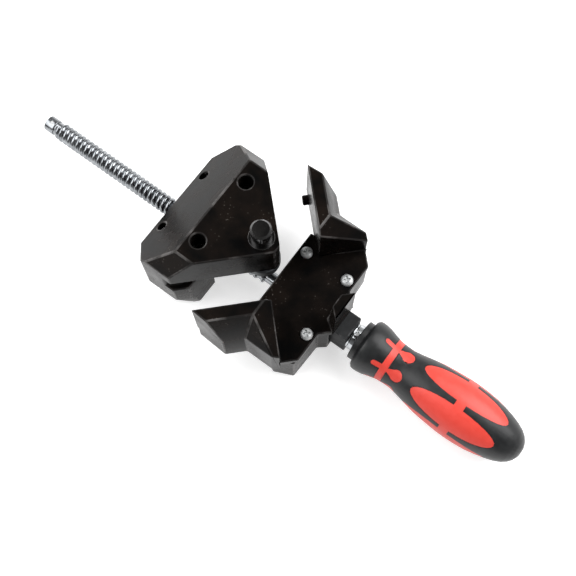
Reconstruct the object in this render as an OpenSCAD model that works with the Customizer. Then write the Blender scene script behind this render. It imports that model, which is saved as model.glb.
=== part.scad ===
// Corner clamp: a fixed corner jaw on a housing, a screw in a swivel block,
// and a swinging jaw that the screw's nut carries along X. Units are mm, +Z is up.

/* [Screw] */
// Height of the screw axis over the bench
axis_z = 17; // [16.5:0.5:20]
// Outside diameter of the thread
thread_d = 10.4; // [8:0.1:14]
// Diameter of the plain shank
shank_d = 7; // [6:0.1:8]
// X of the far end of the thread
thread_tip_x = -184; // [-200:1:-160]
// X where the thread runs out into the shank
thread_end_x = -38; // [-42:0.5:-36]
// Diameter of the end stop
stop_d = 9; // [8:0.1:10]
// Length of the end stop
stop_l = 6; // [4:0.5:8]
// Diameter of the turned end inside the stop
spigot_d = 5; // [4:0.1:6]
// Diameter of the collar's and the stop's roll pins
roll_pin_d = 2; // [1.5:0.1:2.4]
// Radial clearance of every running fit
run_fit = 0.05; // [0.02:0.01:0.1]
// Face clearance between neighbouring pieces
face_gap = 0.3; // [0.2:0.05:0.5]

/* [Corner jaw] */
// Half of the distance between the arm tips
arm_reach = 47; // [44:1:54]
// Thickness of an arm at its foot
arm_t = 13.4; // [12:0.1:16]
// Width of an arm's flat top
arm_top_w = 6.7; // [5:0.1:9]
// Height of the arm tops over the bench
jaw_top_z = 63; // [60:1:66]
// Height at which the arm slopes end
slope_end_z = 47; // [44:0.5:50]
// Height of the arm undersides
arm_under_z = 20.6; // [18:0.2:24]
// Distance of the arms' inner ends from the corner
open_corner = 27.9; // [25:0.1:31]
// X where the arm tops start to slope down
ridge_x = -22; // [-24:0.5:-20]
// Half width over the side walls
side_half = 40; // [38:0.5:42]
// Top of the plate over the bench
plate_top_z = 33; // [32.5:0.5:34]
// Thickness of the plate
plate_t = 5; // [4:0.5:6]
// X of the plate's front edge
plate_front_x = -30.2; // [-32:0.1:-28]
// X of the plate's rear edge
plate_rear_x = 4.4; // [3.5:0.1:6]
// Height of the hood over the bench
hood_top_z = 55; // [48:1:58]
// X of the hood's rear face
hood_rear_x = 10; // [9:0.1:11]
// Depth of the relief under each clamp face
face_relief = 0.6; // [0.4:0.1:1]
// Diameter of the work-rest pegs
peg_d = 5.5; // [5:0.5:6]
// Length of a peg inside its arm
peg_hold = 3; // [2.5:0.5:3.5]
// Length of a peg in front of its arm
peg_proud = 3; // [2.5:0.5:4]
// Distance of a peg's middle from the arm's tip
peg_inset = 5.6; // [5.5:0.1:8]

/* [Housing] */
// Inset of the housing under the plate's edge
part_inset = 0.4; // [0.3:0.1:1]
// Thickness of the housing floor
floor_t = 5; // [4:0.5:5.5]
// Wall left round the cored pockets of the castings
core_wall = 5; // [4:0.5:6]
// Depth of the housing's pockets
core_depth = 9; // [6:0.5:10]
// Half width of the shank's channel in the housing
shank_room = 6.6; // [6.4:0.1:7]
// Half distance of the housing screws across
screw_y = 17.6; // [16.5:0.1:18]
// X of the front pair of housing screws
screw_front_x = -25.4; // [-26:0.1:-24]
// X of the rear pair of housing screws
screw_rear_x = 0; // [-2:0.5:0.5]
// Diameter of the housing screws
screw_d = 4; // [3:0.5:5]
// Head diameter of the housing screws
screw_head_d = 6.4; // [6:0.1:6.8]
// Head height of the housing screws
screw_head_h = 2.4; // [2:0.1:3]
// Length of the housing screws under the head
screw_l = 18; // [14:1:20]

/* [Swivel] */
// Width of the swivel block
block_w = 14; // [13:0.1:15]
// X of the block's front face
block_front_x = -9; // [-11:0.5:-8]
// X of the block's rear face
block_rear_x = 17; // [15:0.1:18]
// Diameter of the block's trunnions
trunnion_d = 8; // [6:0.5:9]
// Length of a trunnion
trunnion_l = 2.6; // [2:0.1:3]
// Wall of the trunnion bushes
bush_wall = 1.2; // [0.8:0.1:1.5]
// Half width of the block's narrowed front
block_nose = 4; // [3:0.5:5]
// Side clearance of the block at the housing's rear
swing_gap = 1.2; // [1:0.1:1.8]
// Diameter of the front thrust washer
front_washer_d = 10.4; // [9.5:0.1:12]
// Thickness of the thrust washers
washer_t = 1; // [0.8:0.1:1.5]
// Diameter of the rear thrust washer
washer_d = 14; // [12:0.5:15]
// Thickness of the circlips
clip_t = 1; // [0.8:0.1:1.2]
// Length of the collar
collar_l = 3; // [2.5:0.1:3.5]
// Diameter of the collar
collar_d = 15; // [13:0.1:16]

/* [Swing jaw] */
// Height of the jaw's top over the bench
swing_top_z = 69; // [67:0.5:72]
// X of the jaw's blunt tip
tip_x = -30.8; // [-33:0.1:-30]
// Half width of the jaw's blunt tip
tip_half = 2; // [1.5:0.1:3]
// Half width over the jaw's ends
jaw_half = 39.5; // [37:0.5:42]
// X of the jaw's back wall
jaw_back_x = -96.4; // [-100:0.2:-95]
// X of the top face's back edge
jaw_top_back_x = -69.8; // [-72:0.2:-68]
// Half width of the top face
jaw_top_half = 29.8; // [28:0.1:32]
// Height at which the end slopes stop
end_slope_z = 53; // [51:0.5:55]
// Height at which the back slope stops
back_slope_z = 38; // [37:0.5:40]
// X run of the chamfered back corners
corner_run = 9.6; // [8:0.1:11]
// Underside of the overhanging clamp block
block_under_z = 44; // [43.5:0.5:45]
// Height at which the feet start to draw in
end_under_z = 17.5; // [15:0.5:20]
// Distance by which the feet draw in
foot_in = 4.4; // [3:0.1:5]
// Clearance of the feet over the bench
foot_lift = 0.3; // [0.2:0.1:1]
// X of the feet's front faces
foot_front_x = -62.2; // [-64:0.2:-61]
// Half width of the channel between the feet
channel_half = 15.5; // [14.5:0.5:17]
// Underside of the bridge that joins the feet at the back
bridge_z = 34; // [33.5:0.5:35]
// Length of that bridge
bridge_l = 17; // [15:0.5:17.5]
// Depth of the groove under the clamp block
groove = 5; // [3:0.5:6]
// Height of the groove
groove_h = 10; // [8:0.5:12]
// Diameter of the holes in the top face
top_hole_d = 7.5; // [6:0.5:9]
// Depth of the holes in the top face
top_hole_l = 14; // [10:0.5:18]
// Half distance of the top holes
top_hole_y = 19; // [18.5:0.1:21]
// X of the top holes
top_hole_x = -64; // [-66:0.5:-63]
// Half distance of the back holes
back_hole_y = 17.4; // [16:0.2:19]
// Diameter of the back holes
back_hole_d = 5; // [4:0.5:6]

/* [Carriage] */
// X of the pivot pin
pin_x = -40.2; // [-42:0.1:-39.5]
// Diameter of the pivot pin
pin_d = 9; // [8:0.1:10]
// Diameter of the pin's foot in the tongue
pin_foot_d = 8; // [7:0.1:8.5]
// Depth of the pin's shoulder in the tongue
pin_seat = 2.2; // [1.5:0.1:3]
// Diameter of the pin's head
pin_head_d = 10.4; // [10:0.1:11]
// Height of the pin's head over the jaw
pin_head_h = 11; // [8:0.5:13]
// Diameter of the ring under the pin's head
ring_d = 13; // [12:0.5:13.5]
// Thickness of the ring under the pin's head
ring_t = 1.5; // [1:0.1:2]
// Wall of the pivot bush
pivot_wall = 1.2; // [0.8:0.1:1.5]
// Half width of the carriage
carriage_half = 9; // [8.5:0.1:9.5]
// X of the carriage's back face
carriage_back_x = -90; // [-91:0.5:-89]
// Length of the carriage body
carriage_l = 24; // [22:0.5:25]
// Underside of the carriage body
carriage_under_z = 4; // [3:0.5:6]
// Thickness of the tongue over the screw
tongue_t = 6; // [5:0.1:6.2]
// Outside diameter of the nut
nut_d = 14.4; // [13.5:0.1:15]
// Diameter of the nut's flange
nut_flange_d = 17; // [16:0.5:17.5]
// Thickness of the nut's flange
nut_flange_t = 2; // [1.5:0.1:3]
// Diameter of the nut's lock screw
lock_d = 4; // [3:0.5:5]

/* [Handle] */
// X of the handle's front face
handle_x = 24.5; // [24:0.1:26]
// Length of the handle
handle_l = 95.5; // [88:0.5:104]
// Largest diameter of the handle
handle_d = 32.4; // [30:0.1:35]
// Thickness of the soft grip
grip_t = 2.2; // [1.8:0.1:3]
// Diameter of the stepped ferrule
ferrule_d = 22; // [19:0.5:23]
// Number of windows round the grip
windows = 6; // [4:1:6]
// Turn of the first window about the screw axis
window_turn = 38; // [0:1:59]
// Length of a window
window_l = 49; // [40:1:50]
// Width of a window
window_w = 13.6; // [10:0.2:14]
// Width of the band round the windows' middles
mid_band_w = 5.5; // [4:0.5:7]
// Width of the front band
band_w = 3.8; // [3:0.1:5]
// Reach of the fingers in front of the band
finger_l = 5.4; // [4:0.1:6]
// Width of a finger
finger_w = 2.9; // [2:0.1:4]
// Reach of the lobes behind the band
lobe_l = 8.7; // [8:0.1:10]
// Diameter of a lobe
lobe_d = 6.8; // [5:0.1:7]
// Width of a lobe's neck
neck_w = 2.2; // [1.5:0.1:3]
// Gap round the core's pads in the windows
window_gap = 0.1; // [0.05:0.05:0.3]
// Diameter of the handle's cross pin
cross_pin_d = 3; // [2:0.5:4]

/* [Hidden] */
$fn = 48;
r2 = sqrt(2);
parting_z = plate_top_z - plate_t;
block_top_z = parting_z - face_gap;
block_bot_z = floor_t + face_gap;
clamp_x = tip_x + tip_half;
roof_z = block_under_z;
tongue_top_z = roof_z - face_gap;
tongue_bot_z = tongue_top_z - tongue_t;
nut_front_x = carriage_back_x + carriage_l;
riser_x = jaw_back_x + bridge_l + 2.4;
carriage_top_z = bridge_z - 2 * face_gap;
lock_x = nut_front_x - 5;
tang_end_x = handle_x + handle_l * 0.72;
collar_x = block_rear_x + washer_t + 2 * run_fit;
ferrule_x = collar_x + collar_l + run_fit;
clip_x = block_front_x - washer_t - clip_t - 2 * run_fit;
bush_d = trunnion_d + 2 * run_fit + 2 * bush_wall;
pivot_bush_d = pin_d + 2 * run_fit + 2 * pivot_wall;
ring_z = swing_top_z + run_fit;
pin_head_z = ring_z + ring_t + run_fit;
mid_x = handle_x + handle_l * 0.6;
band_x = handle_x + handle_l * 0.149;
handle_pin_x = handle_x + handle_l / 4;

// Outline of the plate in plan, from its front edge round to the neck.
function plate_half() = [
  [plate_front_x, 28], [plate_front_x + 10.2, 28], [-8, side_half], [-5, side_half],
  [plate_rear_x, side_half - 5 - plate_rear_x], [plate_rear_x, 14],
  [hood_rear_x - face_gap, block_w / 2 + swing_gap + 1]];
function mirror_y(p) = [for (i = [len(p) - 1 : -1 : 0]) [p[i][0], -p[i][1]]];
function both(p) = concat(p, mirror_y(p));

// A rod along X from x0 to x1 on the screw axis.
module rod(x0, x1, d) {
  translate([x0, 0, axis_z]) rotate([0, 90, 0]) cylinder(d = d, h = x1 - x0);
}

// A running hole for a pin of diameter d, straight down through the screw axis at x.
module cross_hole(x, d) {
  translate([x, 0, axis_z - handle_d]) cylinder(d = d + 2 * run_fit, h = 2 * handle_d, $fn = 24);
}

module both_sides() {
  children();
  mirror([0, 1, 0]) children();
}

// One arm of the corner: a bar at 45 degrees with a sloping back and inner end.
module arm() {
  t = arm_t * r2;
  run = jaw_top_z - slope_end_z;
  v = open_corner / r2;
  n = side_half;
  ridge_y = arm_top_w * r2 - ridge_x;
  difference() {
    intersection() {
      translate([0, 0, arm_under_z]) linear_extrude(jaw_top_z - arm_under_z)
        polygon([[-arm_reach, arm_reach], [t - arm_reach - 1, arm_reach + 1], [t - n, n],
          [-5, n], [n - 2 * v - 2.4, n - 2.4], [-v, v]]);
      // sloping back along the bar, and the side slope over the wall beside it
      union() {
        rotate([0, 0, 45]) rotate([90, 0, 0]) linear_extrude(4 * arm_reach, center = true)
          polygon([[-1, 0], [arm_top_w + (arm_t - arm_top_w) * jaw_top_z / run, 0], [arm_top_w, jaw_top_z],
            [-1, jaw_top_z]]);
        translate([ridge_x, 0, 0]) rotate([90, 0, 90]) linear_extrude(2 * arm_reach)
          polygon([[0, 0], [ridge_y + (n - ridge_y) * jaw_top_z / run, 0], [ridge_y, jaw_top_z],
            [0, jaw_top_z]]);
      }
      // inner end sloping down towards the handle
      rotate([90, 0, 0]) linear_extrude(4 * arm_reach, center = true)
        polygon([[-2 * arm_reach, 0], [ridge_x + 2 * run, 0], [ridge_x + 2 * run, jaw_top_z - 1.8 * run],
          [ridge_x, jaw_top_z], [-2 * arm_reach, jaw_top_z]]);
    }
    // relief that sets the face back below the work
    rotate([0, 0, 45]) translate([-1, -4 * arm_reach, 0])
      cube([1 + face_relief, 8 * arm_reach, plate_top_z]);
  }
}

// Places a peg square to an arm's clamp face, level with the plate; +Z points into the arm.
module at_peg(s) {
  d = arm_reach - peg_inset / r2;
  translate([-d, s * d, plate_top_z - peg_d / 2 - run_fit]) rotate([0, 0, s * 45])
    rotate([0, 90, 0]) children();
}

module hood() {
  hull() {
    translate([hood_rear_x - 5.2, -3.8, hood_top_z - 1]) cube([0.2, 7.6, 1]);
    translate([hood_rear_x - 0.2, -8.5, hood_top_z - 1]) cube([0.2, 17, 1]);
    translate([hood_rear_x - 6.2, -4.6, parting_z]) cube([0.2, 9.2, 1]);
    translate([hood_rear_x - 0.2, -8.7, parting_z]) cube([0.2, 17.4, 1]);
  }
}

module corner_jaw() {
  color("#17181a") difference() {
    union() {
      translate([0, 0, parting_z]) linear_extrude(plate_t) polygon(both(plate_half()));
      both_sides() arm();
      hood();
    }
    // housing screw holes
    for (x = [screw_front_x, screw_rear_x], s = [-1, 1])
      translate([x, s * screw_y, parting_z - 1]) cylinder(d = screw_d + 2 * run_fit, h = plate_t + 2);
    // blind seat of the upper bush
    translate([0, 0, parting_z - 1]) cylinder(d = bush_d, h = trunnion_l + face_gap + 1);
    // blind seats of the pegs
    for (s = [-1, 1]) at_peg(s) translate([0, 0, -1])
      cylinder(d = peg_d + 2 * run_fit, h = peg_hold + run_fit + 1, $fn = 32);
  }
}

module rest_pegs() {
  color("#1a1b1c") for (s = [-1, 1]) at_peg(s) translate([0, 0, -peg_proud]) {
    cylinder(d1 = peg_d - 1, d2 = peg_d, h = 0.5, $fn = 32);
    translate([0, 0, 0.5]) cylinder(d = peg_d, h = peg_proud + peg_hold - 0.5, $fn = 32);
  }
}

module base_housing() {
  i = part_inset;
  w = block_w / 2 + swing_gap;
  color("#1c1d1f") difference() {
    linear_extrude(parting_z) polygon(both([
      [plate_front_x + i, 26], [plate_front_x + 8, 26], [-14, side_half - 6], [-7, side_half - 2.8],
      [plate_rear_x - 3 * i, side_half - 7.4], [plate_rear_x - i, 13],
      [plate_rear_x + 3.8, w + 1.4]]));
    // room for the arms' feet, which reach down past the plate
    both_sides() translate([0, open_corner * r2 - face_gap, arm_under_z]) rotate([0, 0, 45])
      translate([-100, 0, 0]) cube([200, 100, parting_z]);
    // pocket of the swivel block, open to the rear
    translate([block_front_x - 4, -w, floor_t]) cube([60, 2 * w, parting_z]);
    // channel of the shank, open to the front
    translate([plate_front_x - 5, -shank_room, floor_t]) cube([40, 2 * shank_room, parting_z]);
    // pockets cored from below, either side of the channel
    both_sides() translate([0, 0, -1]) linear_extrude(core_depth + 1) offset(delta = -core_wall)
      polygon([[plate_front_x + i, w], [plate_front_x + i, screw_y + 2 * core_wall],
        [-7, side_half - 2 * core_wall + 2], [plate_rear_x, side_half - 2 * core_wall], [plate_rear_x, w]]);
    // blind seat of the lower bush
    translate([0, 0, floor_t - trunnion_l - face_gap]) cylinder(d = bush_d, h = floor_t + 1);
    // tapped holes for the housing screws
    for (x = [screw_front_x, screw_rear_x], s = [-1, 1])
      translate([x, s * screw_y, plate_top_z - screw_l - 2])
        cylinder(d = screw_d + 2 * run_fit, h = screw_l);
  }
}

module housing_screws() {
  color("#c9cbcc") for (x = [screw_front_x, screw_rear_x], s = [-1, 1])
    translate([x, s * screw_y, plate_top_z]) {
      translate([0, 0, -screw_l]) cylinder(d = screw_d, h = screw_l + 0.5);
      difference() {
        rotate_extrude() polygon([[0, 0], [screw_head_d / 2, 0], [screw_head_d / 2, screw_head_h * 0.45],
          [screw_head_d * 0.42, screw_head_h * 0.8], [screw_head_d * 0.25, screw_head_h],
          [0, screw_head_h]]);
        for (a = [45, 135]) rotate([0, 0, a]) translate([-1.8, -0.5, screw_head_h - 1.3]) cube([3.6, 1, 3]);
      }
    }
}

module bush(z0, h) {
  translate([0, 0, z0]) difference() {
    cylinder(d = bush_d, h = h);
    translate([0, 0, -1]) cylinder(d = trunnion_d + 2 * run_fit, h = h + 2);
  }
}

module upper_bush() {
  color("#b08d57") bush(parting_z, trunnion_l + face_gap);
}

module lower_bush() {
  color("#b08d57") bush(floor_t - trunnion_l - face_gap, trunnion_l + face_gap);
}

module swivel_block() {
  h = block_top_z - block_bot_z;
  color("#3f4042") difference() {
    union() {
      intersection() {
        translate([block_front_x, -block_w / 2, block_bot_z])
          cube([block_rear_x - block_front_x, block_w, h]);
        translate([block_front_x, 0, 0]) linear_extrude(parting_z) polygon(both([[0, block_nose],
          [block_w - block_nose, block_w], [2 * block_rear_x, block_w]]));
      }
      translate([0, 0, block_top_z - 1]) cylinder(d = trunnion_d, h = trunnion_l + face_gap + 1 - run_fit);
      translate([0, 0, block_bot_z - trunnion_l - face_gap + run_fit])
        cylinder(d = trunnion_d, h = trunnion_l + face_gap + 1);
    }
    rod(block_front_x - 1, block_rear_x + 1, shank_d + 2 * run_fit);
  }
}

module ring(x0, h, d, bore) {
  difference() {
    rod(x0, x0 + h, d);
    rod(x0 - 1, x0 + h + 1, bore);
  }
}

module front_washer() {
  color("#c9cbcc")
    ring(block_front_x - washer_t - run_fit, washer_t, front_washer_d, shank_d + 2 * run_fit);
}

module rear_washer() {
  color("#c9cbcc") ring(block_rear_x + run_fit, washer_t, washer_d, shank_d + 2 * run_fit);
}

module shank_circlip() {
  color("#8f9294") difference() {
    ring(clip_x, clip_t, shank_d + 3, shank_d - 1 + 2 * run_fit);
    translate([clip_x - 1, -2.2, axis_z - 12]) cube([clip_t + 2, 4.4, 12]);
  }
}

module thrust_collar() {
  color("#d5d7d8") difference() {
    ring(collar_x, collar_l, collar_d, shank_d + 2 * run_fit);
    cross_hole(collar_x + collar_l / 2, roll_pin_d);
  }
}

module collar_pin() {
  color("#8f9294") translate([collar_x + collar_l / 2, 0, axis_z - collar_d / 2 + 0.5])
    cylinder(d = roll_pin_d, h = collar_d - 1, $fn = 24);
}

// The spindle is turned from one bar; its helix is a surface detail.
module screw_spindle() {
  color("#c3c6c8") difference() {
    union() {
      rod(thread_tip_x, thread_end_x, thread_d);
      rod(thread_tip_x - stop_l, thread_end_x, spigot_d);
      rod(thread_end_x - 2, tang_end_x, shank_d);
    }
    // groove of the circlip
    translate([clip_x - run_fit, 0, 0]) difference() {
      rod(0, clip_t + 2 * run_fit, 20);
      rod(-1, clip_t + 3, shank_d - 1);
    }
    // cross holes of the collar pin, the handle pin and the stop pin
    cross_hole(collar_x + collar_l / 2, roll_pin_d);
    cross_hole(handle_pin_x, cross_pin_d);
    cross_hole(thread_tip_x - stop_l / 2, roll_pin_d);
  }
}

module end_stop() {
  color("#c3c6c8") difference() {
    ring(thread_tip_x - stop_l, stop_l - run_fit, stop_d, spigot_d + 2 * run_fit);
    cross_hole(thread_tip_x - stop_l / 2, roll_pin_d);
  }
}

module stop_pin() {
  color("#8f9294") translate([thread_tip_x - stop_l / 2, 0, axis_z - stop_d / 2 + 0.6])
    cylinder(d = roll_pin_d, h = stop_d - 1.2, $fn = 24);
}

// Smooth curve through all but the first and last of the points p, in n steps each.
function curve(p, n) = [for (i = [1 : len(p) - 3], k = [0 : n - 1]) let (t = k / n, a = p[i - 1], b = p[i],
  c = p[i + 1], d = p[i + 2])
  b + (c - a) * t / 2 + (2 * a - 5 * b + 4 * c - d) * t * t / 2 + (3 * b - a - 3 * c + d) * t * t * t / 2];

// Profile of the handle as fractions of its length and of its largest radius.
function handle_pts(shrink) = [for (p = concat([[0, 0.8], [0.014, 0.88]], curve([[0, 0.9], [0.03, 0.893],
  [0.08, 0.865], [0.16, 0.735], [0.25, 0.715], [0.33, 0.8], [0.42, 0.91], [0.53, 0.975], [0.63, 1],
  [0.75, 0.95], [0.86, 0.8], [0.94, 0.61], [0.985, 0.35], [1, 0.02], [0.985, -0.3]], 2)))
  [max(0.4, p[1] * handle_d / 2 - shrink), p[0] * (handle_l - shrink)]];

module handle_body(shrink, x0) {
  translate([x0, 0, axis_z]) rotate([0, 90, 0]) rotate_extrude()
    polygon(concat([[0, 0]], handle_pts(shrink), [[0, handle_l - shrink]]));
}

// One sixth of the two-tone pattern: a long window, a finger and a lobe.
module motif(gap) {
  front = band_x - finger_l + finger_w / 2;
  lobe_x = band_x + band_w + lobe_l - lobe_d / 2;
  offset(delta = -gap) {
    translate([mid_x, 0])
      polygon([for (a = [0 : 12 : 348]) [window_l / 2 * cos(a), window_w / 2 * sin(a)]]);
    translate([front, 0]) circle(d = finger_w, $fn = 16);
    translate([front, -finger_w / 2]) square([finger_l, finger_w]);
    translate([lobe_x, 0]) circle(d = lobe_d, $fn = 24);
    polygon([[band_x, neck_w / 2], [band_x + band_w, neck_w / 2], [lobe_x, lobe_d * 0.49],
      [lobe_x, -lobe_d * 0.49], [band_x + band_w, -neck_w / 2], [band_x, -neck_w / 2]]);
  }
}

// The whole pattern, cut in from outside, with the two bands that run round.
module handle_pattern(gap) {
  for (k = [0 : windows - 1]) translate([0, 0, axis_z]) rotate([k * 360 / windows + window_turn, 0, 0])
    linear_extrude(handle_d) motif(gap);
  rod(band_x + gap, band_x + band_w - gap, 2 * handle_d);
  rod(mid_x - mid_band_w / 2 + gap, mid_x + mid_band_w / 2 - gap, 2 * handle_d);
}

module handle_ferrule() {
  color("#d5d7d8") ring(ferrule_x, handle_x - ferrule_x - run_fit, ferrule_d, shank_d + 2 * run_fit);
}

module handle_core() {
  color("#e0483c") difference() {
    union() {
      handle_body(grip_t, handle_x);
      intersection() {
        handle_body(run_fit, handle_x);
        handle_pattern(window_gap);
      }
    }
    rod(handle_x - 1, tang_end_x + 0.5, shank_d + 2 * run_fit);
    cross_hole(handle_pin_x, cross_pin_d);
  }
}

// The soft grip between x0 and x1, moulded round the core and open where the pattern shows.
module grip(x0, x1) {
  color("#333436") difference() {
    intersection() {
      handle_body(0, handle_x);
      rod(x0, x1, 2 * handle_d);
    }
    handle_body(grip_t - run_fit, handle_x - run_fit);
    rod(handle_x - 1, handle_x + 3, ferrule_d - 2);
    handle_pattern(0);
  }
}

module grip_front() {
  grip(handle_x, band_x + 1);
}

module grip_middle() {
  grip(band_x + 1, mid_x);
}

module grip_rear() {
  grip(mid_x, handle_x + handle_l);
}

module handle_pin() {
  color("#8f9294") translate([handle_pin_x, 0, axis_z - 8]) cylinder(d = cross_pin_d, h = 16, $fn = 24);
}

module nut_carriage() {
  color("#55585a") difference() {
    union() {
      translate([carriage_back_x, -carriage_half, carriage_under_z])
        cube([carriage_l, 2 * carriage_half, carriage_top_z - carriage_under_z]);
      translate([riser_x, -carriage_half, axis_z])
        cube([nut_front_x - riser_x, 2 * carriage_half, tongue_top_z - axis_z]);
      translate([riser_x, -carriage_half, tongue_bot_z])
        cube([pin_x - riser_x, 2 * carriage_half, tongue_t]);
      translate([pin_x, 0, tongue_bot_z]) cylinder(r = carriage_half, h = tongue_t);
    }
    // stepped seat of the nut
    rod(carriage_back_x - 1, nut_front_x + 1, nut_d + 2 * run_fit);
    rod(carriage_back_x - 1, carriage_back_x + nut_flange_t + run_fit, nut_flange_d + 2 * run_fit);
    // bore of the pivot pin
    translate([pin_x, 0, 0]) cylinder(d = pin_foot_d + 2 * run_fit, h = 100);
    translate([pin_x, 0, tongue_top_z - pin_seat]) cylinder(d = pin_d + 2 * run_fit, h = 20);
    // tapped hole of the lock screw
    translate([lock_x, 0, axis_z]) cylinder(d = lock_d + 2 * run_fit, h = 60, $fn = 24);
  }
}

module spindle_nut() {
  color("#b08d57") difference() {
    union() {
      rod(carriage_back_x, nut_front_x, nut_d);
      rod(carriage_back_x, carriage_back_x + nut_flange_t, nut_flange_d);
    }
    rod(carriage_back_x - 1, nut_front_x + 1, thread_d + 2 * run_fit);
    translate([lock_x, 0, axis_z + nut_d / 2 - 1]) cylinder(d = lock_d + 2 * run_fit, h = 60, $fn = 24);
  }
}

module nut_lock_screw() {
  z0 = axis_z + nut_d / 2 - 0.9;
  color("#8f9294") translate([lock_x, 0, z0]) difference() {
    cylinder(d = lock_d, h = 10, $fn = 24);
    translate([0, 0, 8]) cylinder(d = 2, h = 5, $fn = 6);
  }
}

module pivot_pin() {
  z0 = tongue_bot_z + face_gap;
  color("#c9cbcc") translate([pin_x, 0, 0]) {
    translate([0, 0, z0]) cylinder(d = pin_foot_d, h = tongue_t);
    translate([0, 0, tongue_top_z - pin_seat])
      cylinder(d = pin_d, h = pin_head_z - tongue_top_z + pin_seat + 1);
    translate([0, 0, pin_head_z]) cylinder(d = pin_head_d, h = pin_head_h - 1);
    translate([0, 0, pin_head_z + pin_head_h - 1]) cylinder(d1 = pin_head_d, d2 = pin_head_d - 2, h = 1);
  }
}

module pin_ring() {
  color("#2b2c2e") translate([pin_x, 0, ring_z]) difference() {
    cylinder(d = ring_d, h = ring_t);
    translate([0, 0, -1]) cylinder(d = pin_d + 2 * run_fit, h = 5);
  }
}

module pivot_bush() {
  color("#b08d57") translate([pin_x, 0, roof_z]) difference() {
    cylinder(d = pivot_bush_d, h = swing_top_z - roof_z);
    translate([0, 0, -1]) cylinder(d = pin_d + 2 * run_fit, h = 60);
  }
}

// Plan of one side of the jaw's lower body, set back from the clamp face by d.
function jaw_side(d) = [[jaw_back_x, jaw_top_half], [jaw_back_x + corner_run, jaw_half],
  [clamp_x - jaw_half - d, jaw_half],
  [foot_front_x - d, clamp_x - foot_front_x], [foot_front_x - d, channel_half], [jaw_back_x, channel_half]];
// Plan of the same side where it stands on the bench.
function foot_print() = [[jaw_back_x, jaw_top_half - foot_in],
  [jaw_back_x + corner_run, jaw_half - foot_in],
  [clamp_x - jaw_half - 8, jaw_half - foot_in], [foot_front_x - 2.6, clamp_x - foot_front_x - 1.8],
  [foot_front_x, clamp_x - foot_front_x - foot_in], [foot_front_x, channel_half],
  [jaw_back_x, channel_half]];

// A foot drawn in from the jaw's end to its print on the bench.
module foot() {
  top = block_under_z - groove_h;
  difference() {
    hull() {
      translate([0, 0, foot_lift]) linear_extrude(0.5) polygon(foot_print());
      translate([0, 0, end_under_z]) linear_extrude(top - end_under_z) polygon(jaw_side(0));
    }
    // pocket cored from below
    translate([0, 0, -1]) linear_extrude(top - core_wall + 1) offset(delta = -core_wall) polygon(foot_print());
  }
  translate([0, 0, top - 1]) linear_extrude(groove_h + 2) polygon(jaw_side(groove));
}

module swing_jaw() {
  color("#17181a") difference() {
    intersection() {
      union() {
        // clamp block that overhangs the feet
        translate([0, 0, block_under_z]) linear_extrude(swing_top_z - block_under_z)
          polygon(both([[jaw_back_x, jaw_top_half], [jaw_back_x + corner_run, jaw_half],
            [clamp_x - jaw_half, jaw_half], [tip_x, tip_half]]));
        both_sides() foot();
        // bridge over the carriage
        translate([jaw_back_x, -channel_half - 1, bridge_z])
          cube([bridge_l, 2 * channel_half + 2, block_under_z - bridge_z + 1]);
      }
      // slope of the back
      rotate([90, 0, 0]) linear_extrude(4 * jaw_half, center = true)
        polygon([[jaw_back_x, 0], [0, 0], [0, swing_top_z], [jaw_top_back_x, swing_top_z],
          [jaw_back_x, back_slope_z]]);
      // slopes of the two ends
      rotate([90, 0, 90]) linear_extrude(8 * jaw_half, center = true)
        polygon([[-jaw_half, 0], [jaw_half, 0], [jaw_half, end_slope_z], [jaw_top_half, swing_top_z],
          [-jaw_top_half, swing_top_z], [-jaw_half, end_slope_z]]);
    }
    // seat of the pivot bush
    translate([pin_x, 0, roof_z - 1]) cylinder(d = pivot_bush_d, h = 60);
    // blind holes in the top and in the sloping back
    for (s = [-1, 1]) {
      translate([top_hole_x, s * top_hole_y, swing_top_z - top_hole_l]) cylinder(d = top_hole_d, h = 40);
      translate([jaw_back_x + back_hole_d, s * back_hole_y, back_slope_z - back_hole_d])
        cylinder(d = back_hole_d, h = 40, $fn = 32);
    }
  }
}

corner_jaw();
rest_pegs();
base_housing();
housing_screws();
upper_bush();
lower_bush();
swivel_block();
front_washer();
rear_washer();
shank_circlip();
thrust_collar();
collar_pin();
screw_spindle();
end_stop();
stop_pin();
handle_ferrule();
handle_core();
grip_front();
grip_middle();
grip_rear();
handle_pin();
nut_carriage();
spindle_nut();
nut_lock_screw();
pivot_pin();
pin_ring();
pivot_bush();
swing_jaw();
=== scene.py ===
# A corner clamp: a fixed corner jaw over a swivelling screw, a swinging jaw that a nut draws
# along the screw, and a two-colour moulded handle. The clamp is in millimetres, the studio in metres.
import math
import bmesh
import bpy
from mathutils import Matrix, Vector


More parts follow.
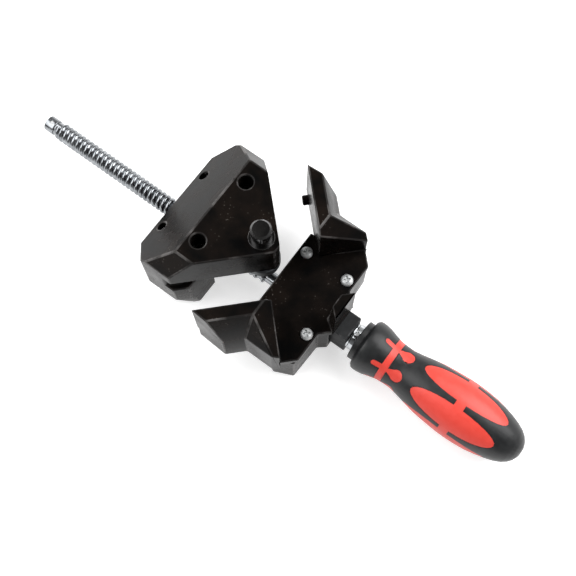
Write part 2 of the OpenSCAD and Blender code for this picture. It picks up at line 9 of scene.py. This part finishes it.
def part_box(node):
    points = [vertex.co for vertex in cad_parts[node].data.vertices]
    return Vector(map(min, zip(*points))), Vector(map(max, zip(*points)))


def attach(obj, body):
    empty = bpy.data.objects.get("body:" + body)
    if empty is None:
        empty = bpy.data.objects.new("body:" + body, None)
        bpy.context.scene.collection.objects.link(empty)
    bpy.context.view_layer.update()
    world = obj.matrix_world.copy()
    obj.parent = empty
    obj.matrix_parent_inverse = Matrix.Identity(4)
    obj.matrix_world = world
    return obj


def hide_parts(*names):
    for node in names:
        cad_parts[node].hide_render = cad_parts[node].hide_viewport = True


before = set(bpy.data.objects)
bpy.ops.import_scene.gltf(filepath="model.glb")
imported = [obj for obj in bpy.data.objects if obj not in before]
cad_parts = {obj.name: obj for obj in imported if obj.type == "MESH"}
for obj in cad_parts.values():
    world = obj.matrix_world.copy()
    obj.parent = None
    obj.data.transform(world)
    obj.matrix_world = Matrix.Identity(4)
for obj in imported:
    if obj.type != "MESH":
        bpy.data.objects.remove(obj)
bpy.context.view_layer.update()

# Studio: a pale sheet under the clamp, three wide soft lamps, and a sky that is bright at the horizon
# and darker overhead, so that lacquered tops stay black and the side walls catch light.
SKY_STOPS = ((0.05, "#FFFFFF"), (0.85, "#3A3735"))  # height, colour
SKY_FRONT, SKY_BACK = 0.35, 0.8  # strength of the sky at -Y and at +Y
FLOOR_HALF = 4.0
SHEET_NEAR, SHEET_FAR = 0.25, 0.9  # distances between which the sheet rises to white
LIFT_NEAR, LIFT_FAR = 0.6, 1.0
LAMPS = (  # name, azimuth, elevation, distance, side, watts
    ("key_lamp", 55, 50, 1.5, 1.2, 26.0),
    ("fill_lamp", -150, 48, 1.5, 1.3, 20.0),
    ("rim_lamp", 165, 35, 1.6, 0.8, 8.0),
)
scene = bpy.context.scene
scene.view_settings.view_transform = "Standard"


def linear(hex_code):
    """An sRGB hex value as linear red, green, blue and alpha."""
    parts = [int(hex_code[i:i + 2], 16) / 255 for i in (1, 3, 5)]
    return tuple(p / 12.92 if p <= 0.04045 else ((p + 0.055) / 1.055) ** 2.4 for p in parts) + (1.0,)


def add(tree, kind, settings=None, links=None):
    """Adds a node; settings fill attributes or sockets, links join sockets of earlier nodes."""
    made = tree.nodes.new(kind)
    for key, value in (settings or {}).items():
        if isinstance(key, str) and hasattr(made, key):
            setattr(made, key, value)
        else:
            made.inputs[key].default_value = value
    for key, source in (links or {}).items():
        tree.links.new(source, made.inputs[key])
    return made


sky = bpy.data.worlds.new("studio_sky")
scene.world = sky
sky.use_nodes = True
tree = sky.node_tree
tree.nodes.clear()
place = add(tree, "ShaderNodeTexCoord")
split = add(tree, "ShaderNodeSeparateXYZ", links={0: place.outputs["Generated"]})
ramp = add(tree, "ShaderNodeValToRGB", links={0: split.outputs["Z"]})
for stop, (height, code) in zip(ramp.color_ramp.elements, SKY_STOPS):
    stop.position = height
    stop.color = linear(code)
facing = add(tree, "ShaderNodeMapRange", {"From Min": -1.0, "To Min": SKY_FRONT, "To Max": SKY_BACK},
             {"Value": split.outputs["Y"]})
glow = add(tree, "ShaderNodeBackground",
           links={"Color": ramp.outputs["Color"], "Strength": facing.outputs["Result"]})
plain = add(tree, "ShaderNodeBackground", {"Color": linear("#FFFFFF")})
ray = add(tree, "ShaderNodeLightPath")
shown_sky = add(tree, "ShaderNodeMixShader",
                links={0: ray.outputs["Is Camera Ray"], 1: glow.outputs[0], 2: plain.outputs[0]})
add(tree, "ShaderNodeOutputWorld", links={"Surface": shown_sky.outputs[0]})

floor_mesh = bpy.data.meshes.new("floor")
bm = bmesh.new()
bmesh.ops.create_grid(bm, x_segments=1, y_segments=1, size=FLOOR_HALF)
bm.to_mesh(floor_mesh)
bm.free()
floor = bpy.data.objects.new("floor", floor_mesh)
scene.collection.objects.link(floor)
# Matt paper: pale grey, with no shine. It is lifted to white only where it is looked at, so that it
# throws no more light on the clamp.
sheet = bpy.data.materials.new("pale_paper")
sheet.use_nodes = True
tree = sheet.node_tree
paper = tree.nodes["Principled BSDF"]
paper.inputs["Base Color"].default_value = linear("#DADADA")
paper.inputs["Emission Color"].default_value = linear("#FFFFFF")
paper.inputs["Roughness"].default_value = 0.9
paper.inputs["Specular IOR Level"].default_value = 0.0
ray = add(tree, "ShaderNodeLightPath")
seen = add(tree, "ShaderNodeMath", {"operation": "MAXIMUM"},
           {0: ray.outputs["Is Camera Ray"], 1: ray.outputs["Is Glossy Ray"]})
away = add(tree, "ShaderNodeVectorMath", {"operation": "LENGTH"},
           {0: add(tree, "ShaderNodeTexCoord").outputs["Object"]})
white = add(tree, "ShaderNodeMapRange", {"From Min": SHEET_NEAR, "From Max": SHEET_FAR,
                                         "To Min": LIFT_NEAR, "To Max": LIFT_FAR},
            {"Value": away.outputs["Value"]})
lifted = add(tree, "ShaderNodeMath", {"operation": "MULTIPLY"},
             {0: seen.outputs["Value"], 1: white.outputs["Result"]})
tree.links.new(lifted.outputs["Value"], paper.inputs["Emission Strength"])
floor_mesh.materials.append(sheet)

for name, azimuth, elevation, distance, side, watts in LAMPS:
    lamp = bpy.data.lights.new(name, "AREA")
    lamp.size = side
    lamp.energy = watts
    held = bpy.data.objects.new(name, lamp)
    turn, lift = math.radians(azimuth), math.radians(elevation)
    held.location = distance * Vector((math.cos(lift) * math.cos(turn),
                                       math.cos(lift) * math.sin(turn), math.sin(lift)))
    held.rotation_euler = (-held.location).to_track_quat("-Z", "Y").to_euler()
    scene.collection.objects.link(held)

# The camera stands where a fit to the photo put it, looking down at about 72 degrees. Its sensor and
# lens are in millimetres, as its place and aim are.
MM = 0.001
CAMERA_AT = (63.8, -120.4, 489.5)
CAMERA_AIM = (-25.06, 0.73, 17.0)
lens = bpy.data.cameras.new("camera")
lens.sensor_width = 36.0
lens.lens = 58.68
lens.clip_start = 0.01
camera = bpy.data.objects.new("camera", lens)
camera.location = Vector(CAMERA_AT) * MM
camera.rotation_euler = (Vector(CAMERA_AIM) - Vector(CAMERA_AT)).to_track_quat("-Z", "Y").to_euler()
scene.collection.objects.link(camera)
scene.camera = camera

# The fixed corner is one aluminium die casting: a plate with two upright arms at 45 degrees and a
# small hood over the swivel, with a stop peg set in each clamp face. It is trimmed, tumbled so that
# its edges are soft, and stoved gloss black.
DRIFT_LOW, DRIFT_HIGH = 0.35, 0.65  # noise values between which colour and gloss drift
HIGHLIGHT_FROM, HIGHLIGHT_TO = 0.48, 0.64  # noise span of the patches of painted edge highlight
# least and most strength of the painted edge highlight
HIGHLIGHT_LEAST, HIGHLIGHT_MOST = 0.1, 0.9
RELIEF_FINER = 8  # times finer than the drift
BUMP_STRENGTH = 0.6
MERGE, REMERGE = 0.002, 0.001  # doubles are merged within these, before and after rounding
FLAT_DEG, CRISP_DEG, SHARP_DEG = 0.5, 24, 40  # faces joined below, edges rounded and shaded sharp above
ROOM = 2.2  # a face beside a rounded edge is wider than this many roundings


def grained(name, colours, grain_mm, roughness, bump_mm, metallic=0.0, edge=None, ior=None):
    """A material whose colour and gloss drift over grain_mm, with a finer relief bump_mm deep.
    edge: a painted highlight colour for rounded edges, laid in patches; a metal keeps the default IOR."""
    made = bpy.data.materials.new(name)
    made.use_nodes = True
    tree = made.node_tree
    shader = tree.nodes["Principled BSDF"]
    place = add(tree, "ShaderNodeTexCoord")
    drift = add(tree, "ShaderNodeTexNoise", {"Scale": 1 / (grain_mm * MM), "Detail": 4.0},
                {"Vector": place.outputs["Object"]})
    tint = add(tree, "ShaderNodeValToRGB", links={"Fac": drift.outputs["Fac"]})
    for stop, at, code in zip(tint.color_ramp.elements, (DRIFT_LOW, DRIFT_HIGH), colours):
        stop.position = at
        stop.color = linear(code)
    relief = add(tree, "ShaderNodeTexNoise", {"Scale": RELIEF_FINER / (grain_mm * MM), "Detail": 2.0},
                 {"Vector": place.outputs["Object"]})
    rounded = add(tree, "ShaderNodeAttribute", {"attribute_name": "edge"})
    # Painted highlight: the rounded edges are lightened towards edge, in patches of the drift noise.
    highlight_patches = add(tree, "ShaderNodeMapRange", {"From Min": HIGHLIGHT_FROM, "From Max": HIGHLIGHT_TO,
                                            "To Min": HIGHLIGHT_LEAST, "To Max": HIGHLIGHT_MOST},
               {"Value": drift.outputs["Fac"]})
    painted_edge_highlight = add(tree, "ShaderNodeMath", {"operation": "MULTIPLY"},
               {0: rounded.outputs["Fac"], 1: highlight_patches.outputs["Result"]})
    base = add(tree, "ShaderNodeMix", {"data_type": "RGBA", 7: linear(edge or colours[1])},
               {0: painted_edge_highlight.outputs["Value"], 6: tint.outputs["Color"]})
    tree.links.new(base.outputs[2], shader.inputs["Base Color"])
    gloss = add(tree, "ShaderNodeMapRange", {"From Min": DRIFT_LOW, "From Max": DRIFT_HIGH,
                                             "To Min": roughness[0], "To Max": roughness[1]},
                {"Value": drift.outputs["Fac"]})
    tree.links.new(gloss.outputs["Result"], shader.inputs["Roughness"])
    bump = add(tree, "ShaderNodeBump", {"Distance": bump_mm * MM, "Strength": BUMP_STRENGTH},
               {"Height": relief.outputs["Fac"]})
    tree.links.new(bump.outputs["Normal"], shader.inputs["Normal"])
    shader.inputs["Metallic"].default_value = metallic
    if ior:
        shader.inputs["IOR"].default_value = ior
    return made


def dressed(node, body, material, round_mm, steps=3):
    """A merged copy of a CAD piece with its edges rounded, standing for it and riding on its body."""
    bm = bmesh.new()
    bm.from_mesh(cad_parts[node].data)
    edge_mark = bm.faces.layers.float.new("edge")
    bmesh.ops.remove_doubles(bm, verts=bm.verts, dist=MERGE * MM)
    bmesh.ops.dissolve_limit(bm, angle_limit=math.radians(FLAT_DEG), verts=bm.verts, edges=bm.edges)
    bmesh.ops.recalc_face_normals(bm, faces=bm.faces)
    if round_mm:
        room = ROOM * round_mm * MM
        crisp = [edge for edge in bm.edges
                 if len(edge.link_faces) == 2 and edge.calc_face_angle() > math.radians(CRISP_DEG)
                 and all(face.calc_area() > room * edge.calc_length() for face in edge.link_faces)]
        rounded = bmesh.ops.bevel(bm, geom=crisp, offset=round_mm * MM, offset_type="OFFSET",
                                  segments=steps, profile=0.5, affect="EDGES", material=-1,
                                  clamp_overlap=False)
        for face in rounded["faces"]:
            face[edge_mark] = 1.0
        bmesh.ops.remove_doubles(bm, verts=bm.verts, dist=REMERGE * MM)
        bmesh.ops.recalc_face_normals(bm, faces=bm.faces)
    for face in bm.faces:
        face.smooth = True
    for edge in bm.edges:
        edge.smooth = len(edge.link_faces) == 2 and edge.calc_face_angle() < math.radians(SHARP_DEG)
    mesh = bpy.data.meshes.new(node + "_shown")
    bm.to_mesh(mesh)
    bm.free()
    mesh.materials.append(material)
    shown = bpy.data.objects.new(node + "_shown", mesh)
    scene.collection.objects.link(shown)
    shown.modifiers.new("flat_faces", "WEIGHTED_NORMAL").keep_sharp = True
    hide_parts(node)
    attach(shown, body)


# Stoved gloss enamel over a die casting: near black with orange peel, drifting in patches to a warm
# brown that is a painted reflection, and with a patchy painted highlight on its rounded edges.
# Patches of dust lie on it, drawn coarser than real dust so that they show.
SPECK_MM = 1.8
SPECK_CORE, SPECK_RIM = 0.08, 0.2  # a speck fades between these shares of the spacing
SPECK_SHOWS = 0.4
DUSTY_FROM, DUSTY_TO = 0.5, 0.68  # noise values between which the dust comes up
enamel = grained("black_enamel", ("#0A0A0A", "#17120F"), grain_mm=14.0, roughness=(0.18, 0.3),
                 bump_mm=0.02, edge="#636160", ior=1.125)
tree = enamel.node_tree
specks = add(tree, "ShaderNodeTexVoronoi", {"Scale": 1 / (SPECK_MM * MM)},
             {"Vector": tree.nodes["Texture Coordinate"].outputs["Object"]})
dust = add(tree, "ShaderNodeMapRange", {"From Min": SPECK_CORE, "From Max": SPECK_RIM,
                                        "To Min": SPECK_SHOWS, "To Max": 0.0},
           {"Value": specks.outputs["Distance"]})
where = add(tree, "ShaderNodeMapRange", {"From Min": DUSTY_FROM, "From Max": DUSTY_TO},
            {"Value": tree.nodes["Noise Texture"].outputs["Fac"]})
patches = add(tree, "ShaderNodeMath", {"operation": "MULTIPLY"},
              {0: dust.outputs["Result"], 1: where.outputs["Result"]})
dusted = add(tree, "ShaderNodeMix", {"data_type": "RGBA", 7: linear("#8C8780")},
             {0: patches.outputs["Value"], 6: tree.nodes["Mix"].outputs[2]})
tree.links.new(dusted.outputs[2], tree.nodes["Principled BSDF"].inputs["Base Color"])
dressed("corner_jaw", "fixed_jaw", enamel, round_mm=0.7)
dressed("rest_pegs", "fixed_jaw", enamel, round_mm=0.2, steps=2)

# The housing below the plate is a second casting, hollow for the swivel block and the shank, open
# at both ends. It is enamelled like the corner and held to it by four pan-head screws.
dressed("base_housing", "fixed_jaw", enamel, round_mm=0.6)

# Four cross-recess pan-head screws of zinc-plated steel hold the corner to the housing. They are
# cold headed with rolled threads, and driven down through the plate into tapped bosses.

# Bright zinc plate: pale grey and satin, partly scattering, so that the heads look pale from above.
zinc = grained("bright_zinc", ("#B4B6B7", "#C6C8C8"), grain_mm=1.6, roughness=(0.42, 0.54),
               bump_mm=0.01, metallic=0.6)
dressed("housing_screws", "fixed_jaw", zinc, round_mm=0.12, steps=2)

# The swivel block is a sawn steel block with two upright trunnions that turn in brass bushes, so that
# the screw can swing a few degrees to either side. A thrust washer lies in front of it, and the
# block is left phosphate grey, with no lacquer.

# Phosphated steel: charcoal grey, matt and fine-grained, with a patchy painted highlight on its edges.
phosphate = grained("phosphate_steel", ("#252627", "#303132"), grain_mm=2.5, roughness=(0.5, 0.66),
                    bump_mm=0.03, edge="#5A5B5C", ior=1.25)
dressed("swivel_block", "swivel", phosphate, round_mm=0.5)
# Turned brass: a warm yellow metal with a soft shine.
brass = grained("turned_brass", ("#A8854A", "#C3A063"), grain_mm=2.0, roughness=(0.24, 0.36),
                bump_mm=0.01, metallic=1.0)
dressed("upper_bush", "fixed_jaw", brass, round_mm=0.2, steps=2)
dressed("lower_bush", "fixed_jaw", brass, round_mm=0.2, steps=2)
dressed("front_washer", "swivel", zinc, round_mm=0.15, steps=2)

# The spindle is a steel bar with a rolled round-crested thread, turned down to a plain shank behind
# it. It is polished and chrome plated. The end stop and the thrust collar are cross-pinned on it, and
# a circlip and two washers hold its shank in the swivel block.

# Chrome plate over polished steel: a mirror, with only a faint drift of gloss.
chrome = grained("chrome_plate", ("#A6A9AC", "#C8CBCD"), grain_mm=5.0, roughness=(0.1, 0.18),
                 bump_mm=0.004, metallic=1.0)
# The same plate over the rolled thread, drawn darker and a little rougher.
dark_chrome = grained("dark_chrome_plate", ("#75787B", "#9C9FA2"), grain_mm=5.0, roughness=(0.16, 0.26),
                bump_mm=0.004, metallic=1.0)
AXIS_Z = 17.0
PITCH = 3.0
CREST, ROOT = 5.2, 4.15  # radii
CREST_POWER = 0.8  # below 1 broadens the crest
RUN_OUT_SINK = 0.1  # the thread's two ends run out this far below its root
THREAD_FROM, THREAD_TO = -183.6, -38.4
THREAD_MERGE = 0.01
RIB_STEPS, SIDES = 10, 32  # along one pitch and round the bar
SHANK_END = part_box("screw_spindle")[1][0] / MM
BARS = (  # from, to, radius
    (-184.0, -38.0, ROOT - 0.05),  # core of the thread
    (-190.0, -183.0, 2.5),  # spigot in the end stop
    (-39.2, -38.0, 4.9),  # shoulder behind the thread
    (-39.0, SHANK_END, 3.5),  # shank and tang
)
RIM, RIM_STEPS, RIM_ANGLE = 0.35, 2, 1.0  # the rounding of the bars' ends; the angle is in radians
THREAD_SHARP_DEG = 50
bm = bmesh.new()
rib = []
for k in range(RIB_STEPS + 1):
    rise = (CREST - ROOT) * math.sin(math.pi * k / RIB_STEPS) ** CREST_POWER
    rib.append(bm.verts.new(Vector((THREAD_FROM + PITCH * k / RIB_STEPS, 0.0, AXIS_Z + ROOT + rise)) * MM))
edges = [bm.edges.new(pair) for pair in zip(rib, rib[1:])]
turns = int((THREAD_TO - THREAD_FROM) / PITCH) - 1
bmesh.ops.spin(bm, geom=rib + edges, cent=Vector((0, 0, AXIS_Z)) * MM, axis=(1, 0, 0),
               dvec=Vector((PITCH / SIDES, 0, 0)) * MM, angle=2 * math.pi * turns, steps=SIDES * turns)
bmesh.ops.remove_doubles(bm, verts=bm.verts, dist=THREAD_MERGE * MM)
sunk = ROOT - RUN_OUT_SINK
for vert in bm.verts:
    along = vert.co.x / MM
    depth = min(1.0, max(0.0, (along - THREAD_FROM) / PITCH), max(0.0, (THREAD_TO - along) / PITCH))
    out = Vector((0, vert.co.y, vert.co.z - AXIS_Z * MM))
    reach = out.length / MM
    out *= (sunk + (reach - sunk) * depth) / reach
    vert.co = Vector((vert.co.x, out.y, out.z + AXIS_Z * MM))
bmesh.ops.holes_fill(bm, edges=[edge for edge in bm.edges if edge.is_boundary])
turning = Matrix.Rotation(math.radians(90), 4, "Y")
for start, end, radius in BARS:
    middle = Matrix.Translation(Vector(((start + end) / 2, 0, AXIS_Z)) * MM) @ turning
    bar = bmesh.ops.create_cone(bm, cap_ends=True, segments=SIDES, radius1=radius * MM,
                                radius2=radius * MM, depth=(end - start) * MM, matrix=middle)
    own = set(bar["verts"])
    rims = [edge for edge in bm.edges if edge.verts[0] in own and edge.calc_face_angle() > RIM_ANGLE]
    bmesh.ops.bevel(bm, geom=rims, offset=RIM * MM, segments=RIM_STEPS, profile=0.5, affect="EDGES",
                    material=-1)
bmesh.ops.recalc_face_normals(bm, faces=bm.faces)
for face in bm.faces:
    face.smooth = True
for edge in bm.edges:
    edge.smooth = len(edge.link_faces) == 2 and edge.calc_face_angle() < math.radians(THREAD_SHARP_DEG)
mesh = bpy.data.meshes.new("screw_spindle_shown")
bm.to_mesh(mesh)
bm.free()
mesh.materials.append(dark_chrome)
spindle = bpy.data.objects.new("screw_spindle_shown", mesh)
scene.collection.objects.link(spindle)
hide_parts("screw_spindle")
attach(spindle, "spindle")
dressed("end_stop", "spindle", dark_chrome, round_mm=0.4)
for node in ("stop_pin", "collar_pin", "shank_circlip"):
    dressed(node, "spindle", zinc, round_mm=0.1, steps=2)
dressed("rear_washer", "swivel", chrome, round_mm=0.3, steps=2)
dressed("thrust_collar", "spindle", chrome, round_mm=0.45)

# The handle core is red polypropylene, moulded on the spindle's tang with a cross pin through it.
# Its raised pads fill the windows of the grip, flush with the outside.

# Moulded polypropylene: one even warm red with a waxy half gloss.
red = grained("red_polypropylene", ("#DC4439", "#E0493E"), grain_mm=3.0, roughness=(0.36, 0.42),
              bump_mm=0.004, ior=1.45)
dressed("handle_core", "spindle", red, round_mm=0.0)
dressed("handle_pin", "spindle", zinc, round_mm=0.2, steps=2)

# The grip is soft charcoal rubber moulded over the core in three rings, with a hard stepped
# ferrule of the same colour where the shank goes in.

# Moulded rubber: charcoal, half matt, with a very fine grain.
rubber = grained("charcoal_rubber", ("#1B1C1D", "#222324"), grain_mm=3.0, roughness=(0.36, 0.44),
                 bump_mm=0.008, ior=1.42)
for node in ("grip_front", "grip_middle", "grip_rear"):
    dressed(node, "spindle", rubber, round_mm=0.15, steps=2)
dressed("handle_ferrule", "spindle", rubber, round_mm=0.4)

# The carriage is a plain cast-steel block with a tongue under the jaw. Its flanged brass nut runs on
# the thread and a grub screw keeps the nut from turning.

# Bare cast steel: a dark grey metal with a satin grain.
cast_steel = grained("cast_steel", ("#4C4F51", "#63676A"), grain_mm=3.0, roughness=(0.42, 0.56),
                     bump_mm=0.03, metallic=1.0)
dressed("nut_carriage", "carriage", cast_steel, round_mm=0.5)
dressed("spindle_nut", "carriage", brass, round_mm=0.3, steps=2)
dressed("nut_lock_screw", "carriage", zinc, round_mm=0.15, steps=2)

# The moving jaw is the third black casting: a clamp block with sloping back and ends, on two feet
# astride the screw. It swings on a brass bush round the black pivot pin that stands in the tongue.
dressed("swing_jaw", "moving_jaw", enamel, round_mm=0.8)
dressed("pivot_bush", "moving_jaw", brass, round_mm=0.2, steps=2)
# Black-oxide steel, turned and oiled: a glossy black with a patchy painted highlight on its edges.
oxide = grained("black_oxide_steel", ("#0A0A0A", "#121110"), grain_mm=14.0, roughness=(0.16, 0.24),
                bump_mm=0.004, edge="#8A8681", ior=1.7)
dressed("pin_ring", "moving_jaw", oxide, round_mm=0.12, steps=2)
dressed("pivot_pin", "carriage", oxide, round_mm=0.0)
